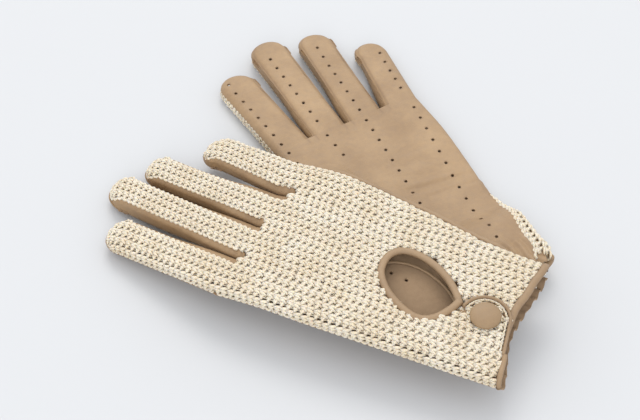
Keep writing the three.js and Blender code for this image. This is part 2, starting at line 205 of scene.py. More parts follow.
def hand_edges(side, y):
    """x of the thumb side and of the little-finger side, with the pattern's corners eased."""
    thumb_side = 0.0
    little_side = 0.0
    for shift in (-8.0, -4.0, 0.0, 4.0, 8.0):
        at = np.asarray(y, float) + shift
        thumb_side = thumb_side + np.interp(at, (0, 60, 100, 150), (-38, -41, -42, -41.3)) / 5
        steps = ((0, 15, 38, 63, 85, 115, 150), (38.5, 38, 39.5, 44.4, 47.8, 51.6, 52.6))
        little_side = little_side + np.interp(at, *steps) / 5
    if side == "left":
        # the cuff that lies on the table spreads
        little_side = little_side + 6.0 * ease((y + 4) / 16) * ease((66 - y) / 24)
    return thumb_side, little_side


def little_seam(y):
    """How far the crochet rolls round the little-finger side: near the cuff it comes right over."""
    return np.interp(y, (8, 50, 84), (4.2, 2.9, 0.85))


def rolled(across, half, outside):
    """Roll a flat distance over the edge: the place across and the depth below the face."""
    reach = np.abs(across)
    turn = np.maximum(reach - (half - ROLL), 0) / ROLL
    over = np.maximum(turn - math.pi, 0)
    turn = np.minimum(turn, math.pi)
    plan = np.minimum(reach, half - ROLL) + ROLL * np.sin(turn) - ROLL * over
    depth = ROLL * (1 - np.cos(turn))
    return plan + outside * np.sin(turn), depth - outside * np.cos(turn)


def face_depth(cloth, depth):
    """Depth below the back's face, or the same below the palm's face."""
    return depth if cloth == "crochet" else THICK - depth


def hand_point(side, cloth, across, y, out):
    """across is measured on the cloth from the middle line; out is the height above its face."""
    left, right = hand_edges(side, y)
    out = out - SUNK[cloth]
    plan, depth = rolled(across, (right - left) / 2, out)
    return np.stack(((left + right) / 2 + np.sign(across) * plan, y, face_depth(cloth, depth)), -1)


def finger_tip(side, name):
    """The left glove's fingers curl a little as it lies on its back."""
    return FINGERS[name]["tip"] - (CURL[name] if side == "left" else 0.0)


def straight_top(side, name):
    """y where a finger's straight sides end and its half-round tip begins."""
    return finger_tip(side, name) - FINGERS[name]["half"]


def finger_line(side, name, y):
    """Middle line and half width of a finger."""
    finger = FINGERS[name]
    low, high = finger["edges"]
    t = np.clip((y - KNUCKLE) / (finger["tip"] - 12 - KNUCKLE), 0, 1)
    middle, half = (low + high) / 2, (high - low) / 2
    return middle + (SPREAD[side][name] - middle) * t, half + (finger["half"] - half) * t


def finger_point(cloth, side, name, across, y, out):
    """Straight sides, then a half-round tip: the cloth rolls over the rim the same way all round."""
    finger = FINGERS[name]
    top = straight_top(side, name)
    middle, half = finger_line(side, name, np.minimum(y, top))
    beyond = np.maximum(y - top, 0)
    reach = np.hypot(across, beyond) + 1e-9
    out = out - SUNK[cloth]
    plan, depth = rolled(reach, half, out)
    settle = ease((y - KNUCKLE) / 14)
    if cloth == "crochet":
        sewn = np.isin(np.sign(across), finger["fourchettes"])
        flat_plan = reach
        plan = np.where(sewn, flat_plan + (plan - flat_plan) * settle, plan)
        depth = np.where(sewn, -out + (depth + out) * settle, depth)
    x = middle + across / reach * plan
    return np.stack((x, np.minimum(y, top) + beyond / reach * plan, face_depth(cloth, depth)), -1)


def finger_limit(cloth, name, across_sign, lean):
    """How far from the middle line the cloth of a finger reaches. lean is 0 at the side, 1 at the tip."""
    side_name = "thumb" if name == "index" else "little"
    if across_sign in FINGERS[name]["fourchettes"]:
        side_name = "slot_inner" if across_sign > 0 else "slot_outer"
    wrap = WRAP[cloth]
    return ROLL * (wrap[side_name] + (wrap["tip"] - wrap[side_name]) * ease(np.asarray(lean) * 1.6))


# ---------- knuckle opening ----------
# An egg-shaped hole over the back of the hand. Its lower end comes to a point beside the snap.
EGG = (
    (-3.8, 31.8), (2.6, 36.8), (8.8, 43.6), (14.0, 52.5), (16.9, 63.0), (15.6, 72.0), (9.0, 77.0),
    (-1.5, 76.4), (-10.5, 70.6), (-17.0, 62.6), (-21.0, 54.2), (-21.8, 46.6), (-18.4, 39.6), (-11.5, 34.6),
)


def egg_line(count):
    """The opening's outline as a smooth closed line that keeps its point."""
    corners = np.array(EGG)
    many = len(corners)
    t = np.linspace(0, many, count, endpoint=False)
    k = t.astype(int)
    f = (t - k)[:, None]
    before, here, there, after = (corners[(k + shift) % many] for shift in (-1, 0, 1, 2))
    # the point is sharp: no tangent carries across it
    before = np.where((k == 0)[:, None], 2 * here - there, before)
    after = np.where((k == many - 1)[:, None], 2 * there - here, after)
    return 0.5 * (2 * here + (there - before) * f + (2 * before - 5 * here + 4 * there - after) * f**2
                  + (3 * here - before - 3 * there + after) * f**3)


def outside_opening(x, y):
    """Distance from the opening's edge, below zero inside it."""
    x, y = x[:, None], y[:, None]
    line_x, line_y = egg_line(140).T
    ahead_x, ahead_y = np.roll(line_x, -1), np.roll(line_y, -1)
    gap = np.hypot(x - line_x, y - line_y).min(1)
    crosses = (line_y > y) != (ahead_y > y)
    slope = (ahead_x - line_x) / np.where(ahead_y == line_y, 1e-9, ahead_y - line_y)
    inside = (crosses & (x < line_x + (y - line_y) * slope)).sum(1) % 2 == 1
    return np.where(inside, -gap, gap)


def hem_rise(x):
    """The hem curves up at the wrist slit, and stays higher on the little-finger side."""
    middle = SNAP[0] + 4
    up = 7 * ease((x + 38) / (middle + 38))
    return np.where(x < middle, up, 7 - 4 * ease((x - middle) / (38 - middle)))


def slit_x(y):
    """The wrist slit runs from under the opening's point to the hem."""
    return -20 + (y + 8) * 9 / 48


def tab_rise(x, y):
    """The crochet lifts toward the tab, which laps over the far side of the slit."""
    near = x < slit_x(y)
    return np.where(near, 1.7 * ease((x + 31) / 13) * ease((50 - y) / 13), 0.0)


# ---------- crochet cotton ----------
# Mercerised cotton, two plies twisted, in a close crochet: each stitch is a plump chain V with two
# posts below it, and a small hole beside the posts. Rows run from the cuff to the fingertips.
PITCH = 3.65


def value_node(tree, kind, **settings):
    node = tree.nodes.new(kind)
    for key, value in settings.items():
        setattr(node, key, value)
    return node


def join(tree, source, target):
    tree.links.new(source, target)


def sum_node(tree, operation, first, second):
    node = value_node(tree, "ShaderNodeMath", operation=operation)
    for socket, value in zip(node.inputs, (first, second)):
        if isinstance(value, (int, float)):
            socket.default_value = value
        else:
            join(tree, value, socket)
    return node.outputs[0]


def blend_colour(tree, factor, first, second):
    node = value_node(tree, "ShaderNodeMix", data_type="RGBA")
    if isinstance(factor, (int, float)):
        node.inputs[0].default_value = factor
    else:
        join(tree, factor, node.inputs[0])
    for socket, value in ((node.inputs[6], first), (node.inputs[7], second)):
        if isinstance(value, tuple):
            socket.default_value = (*value, 1)
        else:
            join(tree, value, socket)
    return node.outputs[2]


def stretch(tree, source, low, high, to_low=0.0, to_high=1.0):
    node = value_node(tree, "ShaderNodeMapRange")
    for socket, value in zip(node.inputs[1:5], (low, high, to_low, to_high)):
        socket.default_value = value
    join(tree, source, node.inputs[0])
    return node.outputs[0]


def noise(tree, place, scale, detail=2.0):
    node = value_node(tree, "ShaderNodeTexNoise")
    node.inputs["Scale"].default_value = scale
    node.inputs["Detail"].default_value = detail
    join(tree, place, node.inputs["Vector"])
    return node.outputs["Fac"]


def new_finish(name, roughness):
    finish = bpy.data.materials.new(name)
    finish.use_nodes = True
    shader = finish.node_tree.nodes["Principled BSDF"]
    shader.inputs["Roughness"].default_value = roughness
    return finish, finish.node_tree, shader


def bump(tree, shader, height, strength, distance):
    node = value_node(tree, "ShaderNodeBump")
    node.inputs["Strength"].default_value = strength
    node.inputs["Distance"].default_value = distance
    join(tree, height, node.inputs["Height"])
    join(tree, node.outputs[0], shader.inputs["Normal"])


def make_cotton():
    finish, tree, shader = new_finish("crochet_cotton", 0.86)
    shader.inputs["Sheen Weight"].default_value = 0.1
    shader.inputs["Subsurface Weight"].default_value = 0.35
    shader.inputs["Subsurface Radius"].default_value = (1.0, 0.8, 0.55)
    shader.inputs["Subsurface Scale"].default_value = 0.0012
    uv = value_node(tree, "ShaderNodeUVMap", uv_map="strand").outputs[0]
    parts = value_node(tree, "ShaderNodeSeparateXYZ")
    join(tree, uv, parts.inputs[0])
    place = value_node(tree, "ShaderNodeTexCoord").outputs["Object"]
    # two plies wind round the strand: one turn every 1.7 mm
    wind = sum_node(tree, "ADD", sum_node(tree, "MULTIPLY", parts.outputs[0], 3.7), parts.outputs[1])
    wave = sum_node(tree, "SINE", sum_node(tree, "MULTIPLY", wind, math.pi), 0.0)
    ply = sum_node(tree, "ABSOLUTE", wave, 0.0)
    tone = noise(tree, place, 60.0, 3.0)
    fleck = noise(tree, place, 900.0, 2.0)
    colour = blend_colour(tree, stretch(tree, tone, 0.35, 0.65), (0.84, 0.70, 0.515), (0.92, 0.80, 0.63))
    # the grooves between the two plies are darkened: painted shade in the twist
    colour = blend_colour(tree, stretch(tree, ply, 0.0, 0.5, 0.24, 0.0), colour, (0.62, 0.48, 0.31))
    colour = blend_colour(tree, stretch(tree, fleck, 0.6, 0.75, 0.0, 0.25), colour, (0.98, 0.94, 0.85))
    join(tree, colour, shader.inputs["Base Color"])
    join(tree, stretch(tree, fleck, 0.3, 0.7, 0.78, 0.95), shader.inputs["Roughness"])
    bump(tree, shader, sum_node(tree, "ADD", ply, sum_node(tree, "MULTIPLY", fleck, 0.35)), 0.7, 0.00022)
    return finish


COTTON = make_cotton()
PLUMP = 1.12


def unit(vectors):
    return vectors / np.linalg.norm(vectors, axis=1)[:, None]


def beside(path, endless=False):
    """Unit vectors along a path and across it, level with the cloth."""
    ahead = np.roll(path, -1, axis=0) - np.roll(path, 1, axis=0) if endless else np.gradient(path, axis=0)
    heading = unit(ahead)
    return heading, unit(np.cross(heading, (0, 0, 1.0)))


def circle(sides):
    return np.linspace(0, 2 * math.pi, sides, endpoint=False)


def walked_length(*path):
    """Distance from the start of a path to each of its points."""
    steps = np.linalg.norm(np.stack([np.diff(part) for part in path]), axis=0)
    return np.concatenate(((0,), np.cumsum(steps)))


def tube_faces(rings, sides, endless=False):
    """Faces of a tube given ring by ring; its ends are closed, or its last ring meets the first."""
    faces = []
    for r in range(rings if endless else rings - 1):
        for i in range(sides):
            j, n = (i + 1) % sides, (r + 1) % rings
            faces.append((r * sides + i, r * sides + j, n * sides + j, n * sides + i))
    if not endless:
        faces.append(tuple(range(sides))[::-1])
        faces.append(tuple(range((rings - 1) * sides, rings * sides)))
    return faces


def strand(path, radii, sides=6):
    """One plump length of cotton: points, faces and (length, turn) for its twist."""
    path = np.array(path, float)
    heading, across = beside(path)
    upward = np.cross(across, heading)
    turn = circle(sides)
    cosine, sine = (part[None, :, None] for part in (np.cos(turn), np.sin(turn)))
    ring = cosine * across[:, None] + sine * upward[:, None]
    points = (path[:, None] + PLUMP * np.array(radii)[:, None, None] * ring).reshape(-1, 3)
    walked = walked_length(*path.T)
    round_it = np.abs(turn / math.pi - 1)
    along = np.stack(np.broadcast_arrays(walked[:, None], round_it[None]), -1).reshape(-1, 2)
    return points, tube_faces(len(path), sides), along


def joined(strands):
    points, faces, along, base = [], [], [], 0
    for p, f, a in strands:
        points.append(p)
        along.append(a)
        faces.extend(tuple(base + i for i in face) for face in f)
        base += len(p)
    return np.concatenate(points), faces, np.concatenate(along)


# local axes of a stitch: along the row, across the row (5 mm), out of the cloth. The first two
# strands are the chain V, the next two its posts, and the last lies low behind the holes.
STITCH = joined((
    strand(((-2.25, 2.15, 0.2), (-1.1, 2.1, 0.8), (0.0, 1.8, 1.05), (1.1, 1.35, 0.85), (2.0, 0.95, 0.1)),
           (0.5, 0.72, 0.78, 0.74, 0.5)),
    strand(((-2.25, 0.1, 0.1), (-1.1, 0.35, 0.75), (0.0, 0.7, 1.0), (1.1, 1.1, 0.8), (2.0, 1.5, 0.15)),
           (0.5, 0.7, 0.76, 0.7, 0.5)),
    strand(((-0.95, 0.6, 0.3), (-0.55, -0.7, 0.85), (-0.05, -1.9, 0.75), (0.45, -2.9, 0.2)),
           (0.5, 0.68, 0.68, 0.5), 5),
    strand(((0.75, 0.3, 0.1), (0.55, -0.8, 0.55), (0.1, -1.9, 0.35), (-0.5, -2.9, -0.1)),
           (0.45, 0.6, 0.6, 0.45), 5),
    strand(((-2.0, -0.9, -0.75), (0.0, -1.35, -0.5), (2.0, -0.9, -0.75)), (0.75, 0.85, 0.75), 5),
))
SCALLOP = joined((
    strand(((-2.0, -0.6, 0.1), (-1.1, 0.35, 0.5), (0.0, 0.75, 0.6), (1.1, 0.35, 0.5), (2.0, -0.6, 0.1)),
           (0.55, 0.74, 0.8, 0.74, 0.55)),
))


def repeat(shape, count, place):
    """Copies of a stitch; place(points, which) puts each copy's points in glove space."""
    points, faces, along = shape
    which = np.repeat(np.arange(count), len(points))
    everywhere = place(np.tile(points, (count, 1)), which)
    shifts = np.arange(count) * len(points)
    sizes = sorted({len(face) for face in faces})
    all_faces = []
    for size in sizes:
        group = np.array([face for face in faces if len(face) == size])
        all_faces.extend(map(tuple, (group[None] + shifts[:, None, None]).reshape(-1, size).tolist()))
    # each copy starts its twist at another place
    start = np.repeat(shifts[:, None] * 0.013, len(points), 0) * (1, 0)
    return everywhere, all_faces, np.tile(along, (count, 1)) + start


def on_path(d, step, walked, x, y):
    """Place at a distance along a path, and its heading there."""
    dx, dy = (np.interp(d + step, walked, part) - np.interp(d - step, walked, part) for part in (x, y))
    size = np.hypot(dx, dy) + 1e-9
    return np.interp(d, walked, x), np.interp(d, walked, y), dx / size, dy / size


def crochet_piece(name, side, parts):
    points, faces, along = joined(parts)
    return make_piece(name, side, points, faces, along=along, finishes=(COTTON,))


dice = np.random.default_rng(11)


def wobble(count, amount):
    return dice.normal(0, amount, count)


# ---------- crochet back of the hand ----------
# One crocheted piece from the wrist to the knuckles. It rolls over both side seams and is cut out
# for the knuckle opening. Its rows fan out from the cuff and lead into the fingers, and two rows
# end at each of the three crotches.
HAND_ROWS = 20


def hand_limits(side, y):
    left, right = hand_edges(side, y)
    flat = (right - left) / 2 - ROLL
    return -flat - ROLL * WRAP["crochet"]["thumb"], flat + ROLL * little_seam(y)


def knuckle_rows():
    """Where the rows cross the knuckle line, measured from the hand's middle, and their widths."""
    left, right = hand_edges("right", KNUCKLE)
    middle = (left + right) / 2
    low, high = hand_limits("right", KNUCKLE)
    outer, inner = (ROLL - ROLL * WRAP["crochet"][edge] for edge in ("slot_outer", "slot_inner"))
    rows = []
    previous = None
    for name, finger in FINGERS.items():
        a, b = (edge - middle for edge in finger["edges"])
        a = low if name == "index" else a + outer
        b = high if name == "little" else b - inner
        if previous is not None:
            rows.extend((previous + (a - previous) * share, (a - previous) / 2) for share in (0.25, 0.75))
        width = (b - a) / finger["rows"]
        rows.extend((a + (k + 0.5) * width, width) for k in range(finger["rows"]))
        previous = b
    return np.array(rows)


KNUCKLE_ROWS = knuckle_rows()
# these rows stop short of the knuckle line by so much, at a crotch
SLOT_ROWS = {4: 2.6, 5: 3.6, 9: 2.6, 10: 3.6, 14: 7.6, 15: 8.6}
STITCH_WIDTH = 5.0


def unevenness(count):
    """Slant, width and height of each stitch differ a little, as handwork does."""
    return wobble(count, 0.07), 1 + wobble(count, 0.05), wobble(count, 0.09)


def hand_row(side, row, y):
    """Middle and width of a row at a distance from the hem."""
    low, high = hand_limits(side, y)
    even = low + (row + 0.5) * (high - low) / HAND_ROWS
    toward = ease((y - 70) / (KNUCKLE - 70))
    start, width = KNUCKLE_ROWS[row, 0], KNUCKLE_ROWS[row, 1]
    return even + (start - even) * toward, (high - low) / HAND_ROWS * (1 - toward) + width * toward


def hand_stitches(side, keep_rule, rise_rule):
    """Stitches of the hand's rows where keep_rule(x, y, across) is true, lifted by rise_rule(x, y)."""
    rows, starts = [], []
    for row in range(HAND_ROWS):
        last = KNUCKLE + 0.4 - SLOT_ROWS.get(row, 0.0)
        y = last - PITCH / 2 - PITCH * np.arange(int(last / PITCH)) - (row % 2) * PITCH / 2
        rows.append(np.full(len(y), row))
        starts.append(y)
    rows, starts = np.concatenate(rows), np.concatenate(starts)
    across = hand_row(side, rows, starts)[0]
    place = hand_point(side, "crochet", across, starts, 0 * starts)
    keep = keep_rule(place[:, 0], place[:, 1], across)
    rows, starts = rows[keep], starts[keep]
    slant, fat, lift = unevenness(len(rows))
    slide = wobble(len(rows), 0.12)

    def place_stitch(points, which):
        s = starts[which] + slide[which] + points[:, 0] + slant[which] * points[:, 1]
        middle, wide = hand_row(side, rows[which], s)
        a = middle + points[:, 1] * wide / STITCH_WIDTH * fat[which]
        flat = hand_point(side, "crochet", a, s, 0 * s)
        out = points[:, 2] + lift[which] + rise_rule(flat[:, 0], flat[:, 1])
        return hand_point(side, "crochet", a, s, out)

    return repeat(STITCH, len(rows), place_stitch)


TAB_ROOT = -26.5  # the tab's stitches take over from the hand's from here to the slit
TAB_TOP = 33.5
ON_THE_BACK = 42  # farther across than this the cloth is on its way round the edge


def kept_on_hand(x, y, across):
    under_tab = (x > TAB_ROOT) & (x < slit_x(y) + 0.5) & (y < TAB_TOP) & (np.abs(across) < ON_THE_BACK)
    return (y > hem_rise(x) + 2.0) & (outside_opening(x, y) > 0.35) & ~under_tab


def side_scallops(side, edge):
    """The last row along one edge of the crochet: edge is 0 on the thumb side, 1 on the other."""
    spots = np.arange(float(hem_rise(np.array((-38.0, 38.0)))[edge]) + 3.0, KNUCKLE, PITCH * 0.92)

    def place_scallop(points, which):
        s = spots[which] + points[:, 0] * 0.92
        limit = hand_limits(side, s)[edge]
        across = limit + np.sign(limit) * (points[:, 1] - 0.2)
        return hand_point(side, "crochet", across, s, points[:, 2] + 0.1)

    return repeat(SCALLOP, len(spots), place_scallop)


for side in SIDES:
    stitches = [hand_stitches(side, kept_on_hand, tab_rise), side_scallops(side, 0), side_scallops(side, 1)]
    back = crochet_piece(f"{side}_crochet_hand", side, stitches)
    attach(back, f"{side}_hand")
    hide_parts(f"{side}_back_hand")

# ---------- crochet backs of the fingers ----------
# The hand's rows run on to the fingertips. A scalloped last row binds each finger's edge.


def hinge_line(piece):
    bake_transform(piece)


def rim_reach(cloth, name, low_side, lean):
    """finger_limit for places of which low_side says whether they lie toward the thumb."""
    return np.where(low_side, finger_limit(cloth, name, -1, lean), finger_limit(cloth, name, 1, lean))


def finger_crochet(side, name):
    finger = FINGERS[name]
    top = straight_top(side, name)
    count = finger["rows"]

    def limits(y):
        half = finger_line(side, name, np.minimum(y, top))[1] - ROLL
        return -half - finger_limit("crochet", name, -1, 0), half + finger_limit("crochet", name, 1, 0)

    def row_middle(row, y):
        low, high = limits(y)
        return low + (row + 0.5) * (high - low) / count, (high - low) / count

    rows, starts = [], []
    for row in range(count):
        odd = (row + finger["first_row"]) % 2
        y = np.arange(KNUCKLE + 0.4 + PITCH / 2 - odd * PITCH / 2, finger_tip(side, name) + 3, PITCH)
        rows.append(np.full(len(y), row))
        starts.append(y)
    rows, starts = np.concatenate(rows), np.concatenate(starts)
    across = row_middle(rows, starts)[0]
    beyond = np.maximum(starts - top, 0)
    lean = np.arctan2(beyond, np.abs(across)) / (math.pi / 2)
    half = finger["half"] - ROLL
    limit = half + rim_reach("crochet", name, across < 0, lean)
    keep = (beyond == 0) | (np.hypot(across, beyond) < limit - 0.6)
    rows, starts = rows[keep], starts[keep]
    slant, fat, lift = unevenness(len(rows))

    def place_stitch(points, which):
        s = starts[which] + points[:, 0] + slant[which] * points[:, 1]
        middle, wide = row_middle(rows[which], s)
        a = middle + points[:, 1] * wide / STITCH_WIDTH * fat[which]
        return finger_point("crochet", side, name, a, s, points[:, 2] + lift[which])

    parts = [repeat(STITCH, len(rows), place_stitch)]
    # edge path on the unrolled cloth: up one side, round the tip, down the other
    turn = np.linspace(math.pi, 0, 60)
    lean = 1 - np.abs(turn / (math.pi / 2) - 1)
    rim = half + rim_reach("crochet", name, turn > math.pi / 2, lean)
    up = np.linspace(KNUCKLE + 0.5, top, 40)
    low, high = limits(up)
    path_a = np.concatenate((low, rim * np.cos(turn), high[::-1]))
    path_s = np.concatenate((up, top + rim * np.sin(turn), up[::-1]))
    walked = walked_length(path_a, path_s)
    spots = np.arange(PITCH / 2, walked[-1], PITCH * 0.9)

    def place_scallop(points, which):
        d = np.clip(spots[which] + points[:, 0] * 0.9, 0, walked[-1])
        a, s, da, ds = on_path(d, 0.5, walked, path_a, path_s)
        out = points[:, 1] - 0.3
        return finger_point("crochet", side, name, a - ds * out, s + da * out, points[:, 2])

    parts.append(repeat(SCALLOP, len(spots), place_scallop))
    return parts


for side in SIDES:
    for name in FINGERS:
        back = crochet_piece(f"{side}_crochet_{name}", side, finger_crochet(side, name))
        hinge_line(back)
        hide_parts(f"{side}_back_{name}")

# ---------- nappa leather ----------
# Soft tan nappa: fine grain, cloudy tone, a little polish where hands rub, darker in the seams, and
# darkened as painted shade low on the palm and along the fold between fingers.
# The flesh side is matt and less smooth.


def make_grain():
    group = bpy.data.node_groups.new("hide_grain", "ShaderNodeTree")
    inputs = {"Place": "Vector", "Light": "Color", "Dark": "Color", "Seam": "Float"}
    for name, kind in inputs.items():
        group.interface.new_socket(name, in_out="INPUT", socket_type=f"NodeSocket{kind}")
    for name, kind in {"Colour": "Color", "Height": "Float", "Polish": "Float"}.items():
        group.interface.new_socket(name, in_out="OUTPUT", socket_type=f"NodeSocket{kind}")
    inlet, outlet = group.nodes.new("NodeGroupInput"), group.nodes.new("NodeGroupOutput")
    place = inlet.outputs["Place"]
    cloud = noise(group, place, 38.0, 4.0)
    mottle = noise(group, place, 330.0, 3.0)
    cells = value_node(group, "ShaderNodeTexVoronoi", feature="DISTANCE_TO_EDGE")
    cells.inputs["Scale"].default_value = 1500.0
    join(group, place, cells.inputs["Vector"])
    grain = stretch(group, cells.outputs["Distance"], 0.0, 0.22)
    fine = sum_node(group, "MULTIPLY", stretch(group, mottle, 0.3, 0.7), 0.45)
    tone = sum_node(group, "ADD", stretch(group, cloud, 0.3, 0.7), fine)
    dark, light = inlet.outputs["Dark"], inlet.outputs["Light"]
    colour = blend_colour(group, stretch(group, tone, 0.2, 1.25), dark, light)
    colour = blend_colour(group, stretch(group, grain, 0.0, 1.0, 0.16, 0.0), colour, (0.20, 0.12, 0.06))
    # this darkening marks the seams and also paints shade, low on the palm and along the fold between
    # fingers
    sewn = sum_node(group, "MULTIPLY", inlet.outputs["Seam"], 0.55)
    colour = blend_colour(group, sewn, colour, (0.17, 0.10, 0.06))
    join(group, colour, outlet.inputs["Colour"])
    wrinkle = value_node(group, "ShaderNodeMapping")
    wrinkle.inputs["Scale"].default_value = (1.0, 3.2, 1.0)
    wrinkle.inputs["Rotation"].default_value = (0.0, 0.0, 0.5)
    join(group, place, wrinkle.inputs["Vector"])
    crease = noise(group, wrinkle.outputs[0], 95.0, 4.0)
    fine, broad = sum_node(group, "MULTIPLY", grain, 0.22), sum_node(group, "MULTIPLY", crease, 1.6)
    height = sum_node(group, "ADD", fine, broad)
    height = sum_node(group, "ADD", height, sum_node(group, "MULTIPLY", mottle, 0.35))
    join(group, height, outlet.inputs["Height"])
    join(group, stretch(group, mottle, 0.3, 0.7, 0.44, 0.6), outlet.inputs["Polish"])
    return group


GRAIN = make_grain()


def make_hide(name, light, dark, strength=0.55, polish=True):
    finish, tree, shader = new_finish(name, 0.62)
    grain = tree.nodes.new("ShaderNodeGroup")
    grain.node_tree = GRAIN
    join(tree, value_node(tree, "ShaderNodeTexCoord").outputs["Object"], grain.inputs["Place"])
    grain.inputs["Light"].default_value = (*light, 1)
    grain.inputs["Dark"].default_value = (*dark, 1)
    seam_and_shade = value_node(tree, "ShaderNodeAttribute", attribute_name="seam_and_shade")
    join(tree, seam_and_shade.outputs["Fac"], grain.inputs["Seam"])
    join(tree, grain.outputs["Colour"], shader.inputs["Base Color"])
    if polish:
        join(tree, grain.outputs["Polish"], shader.inputs["Roughness"])
    else:
        shader.inputs["Roughness"].default_value = 0.9
    bump(tree, shader, grain.outputs["Height"], strength, 0.0004)
    return finish


NAPPA = make_hide("palm_nappa", (0.42, 0.275, 0.145), (0.30, 0.187, 0.094))
FLESH_SIDE = make_hide("flesh_side", (0.34, 0.23, 0.135), (0.25, 0.165, 0.095), 0.3, False)
TRIM_HIDE = make_hide("trim_nappa", (0.355, 0.235, 0.13), (0.28, 0.18, 0.098), 0.4)


def grid_faces(rows, columns, holes=()):
    index = np.arange(rows * columns).reshape(rows, columns)
    quads = np.stack((index[:-1, :-1], index[:-1, 1:], index[1:, 1:], index[1:, :-1]), -1)
    keep = np.ones((rows - 1, columns - 1), bool)
    for r, c in holes:
        keep[r - 1 : r + 1, c - 1 : c + 1] = False
    return list(map(tuple, quads[keep].tolist()))


RING = ((-1, -1), (-1, 0), (-1, 1), (0, 1), (1, 1), (1, 0), (1, -1), (0, -1))


VENT = 0.98  # radius of a vent hole
VENT_RIM = 1.05  # its rim is darker as far as this


def punch(across, along, spots):
    """Open a round hole at each spot of a grid, by moving the eight points round it."""
    punched = []
    for a, s in spots:
        gap = np.hypot(across - a, along - s)
        r, c = np.unravel_index(np.argmin(gap), gap.shape)
        if gap[r, c] > 1.5 or r < 2 or c < 2 or r > gap.shape[0] - 3 or c > gap.shape[1] - 3:
            continue
        punched.append((r, c))
        for dr, dc in RING:
            da, ds = across[r + dr, c + dc] - a, along[r + dr, c + dc] - s
            size = math.hypot(da, ds)
            across[r + dr, c + dc] = a + da / size * VENT
            along[r + dr, c + dc] = s + ds / size * VENT
        across[r, c], along[r, c] = a, s
    return punched


def vents(first, last, count):
    """Evenly spaced vent holes from the fingertip end to the cuff end, as (x, y)."""
    (x, y), (last_x, last_y) = first, last
    steps = [k / (count - 1) for k in range(count)]
    return [(x + (last_x - x) * step, y + (last_y - y) * step) for step in steps]


HAND_VENTS = vents((-35.0, 141.5), (-35.0, 132.0), 2) + vents((-9.2, 143.5), (-10.0, 125.0), 3)
HAND_VENTS += vents((16.0, 143.0), (5.0, 64.0), 10) + vents((44.3, 137.5), (22.0, 26.0), 13)
# the first vent of each finger: across from the finger's middle, and y
FINGER_VENTS = dict(index=(-5.5, 209.0), middle=(-2.9, 216.0), ring=(-1.2, 212.0), little=(3.8, 190.0))
VENT_GAP = 8.5
HIDE_THICK = 0.95


def give_wall(sheet, thickness, offset=-1, back=0):
    """Turn an open sheet into cloth of a thickness in mm; back is the finish of its other face."""
    wall = sheet.modifiers.new("wall", "SOLIDIFY")
    wall.thickness = thickness * MM
    wall.offset = offset
    wall.material_offset = back
    bpy.ops.object.select_all(action="DESELECT")
    bpy.context.view_layer.objects.active = sheet
    sheet.select_set(True)
    bpy.ops.object.modifier_apply(modifier=wall.name)
    bpy.ops.object.shade_smooth_by_angle(angle=math.radians(50))
    return sheet


def leather_sheet(name, side, across, along, place, spots, seam_and_shade):
    """A punched sheet of nappa: place(across, along) lays it, and its last argument darkens the seams and
    paints any shade the piece needs.
    """
    holes = punch(across, along, spots)
    points = place(across.ravel(), along.ravel())
    shade = seam_and_shade(across, along).ravel()
    for a, s in spots:
        shade = np.maximum(shade, 0.8 * (np.hypot(across.ravel() - a, along.ravel() - s) < VENT_RIM))
    faces = grid_faces(*across.shape, holes)
    sheet = make_piece(name, side, points, faces, marks=shade, finishes=(NAPPA, FLESH_SIDE))
    return give_wall(sheet, HIDE_THICK, back=1)


# ---------- leather palm of the hand ----------
# One piece of nappa from the knuckles to the hem, punched with vent holes. It rolls up both side
# seams, creases where the hand closes, and is gathered by the elastic at the wrist.


def palm_relief(x, y):
    """Raised and sunken places of the palm, in millimetres."""
    gather = ease((30 - y) / 16) * 0.55 * np.sin(x * 1.15 + 0.6 * np.sin(y / 3.0))
    gather = gather * ease((40 - np.abs(x)) / 8)
    ruffle = ease((9 - y) / 12) * 0.8 * np.sin(x * 0.9 + 0.5)
    fold = -0.8 * bell(y - 84 + 0.12 * x, 2.6) * ease((x + 4) / 12) * ease((46 - x) / 10)
    fold += -0.5 * bell(y - 91 + 0.2 * x, 1.9) * ease((x - 2) / 12) * ease((44 - x) / 10)
    fold += -0.5 * bell(y - 76 + 0.1 * x, 1.7) * ease((x - 8) / 10) * ease((48 - x) / 10)
    fold += -0.7 * bell(y - 118 - 0.25 * x, 3.0) * ease((x + 40) / 12) * ease((8 - x) / 12)
    web = 0.28 * np.sin((y + 0.35 * x) * 0.62 + np.sin(x / 9.0) * 1.3)
    web = web * np.exp(-(((x - 22) / 20) ** 2 + ((y - 86) / 20) ** 2))
    ball = 0.9 * np.exp(-(((x + 14) / 16) ** 2 + ((y - 108) / 14) ** 2))
    return (gather + ruffle + fold + web + ball) * ease((KNUCKLE - y) / 10)


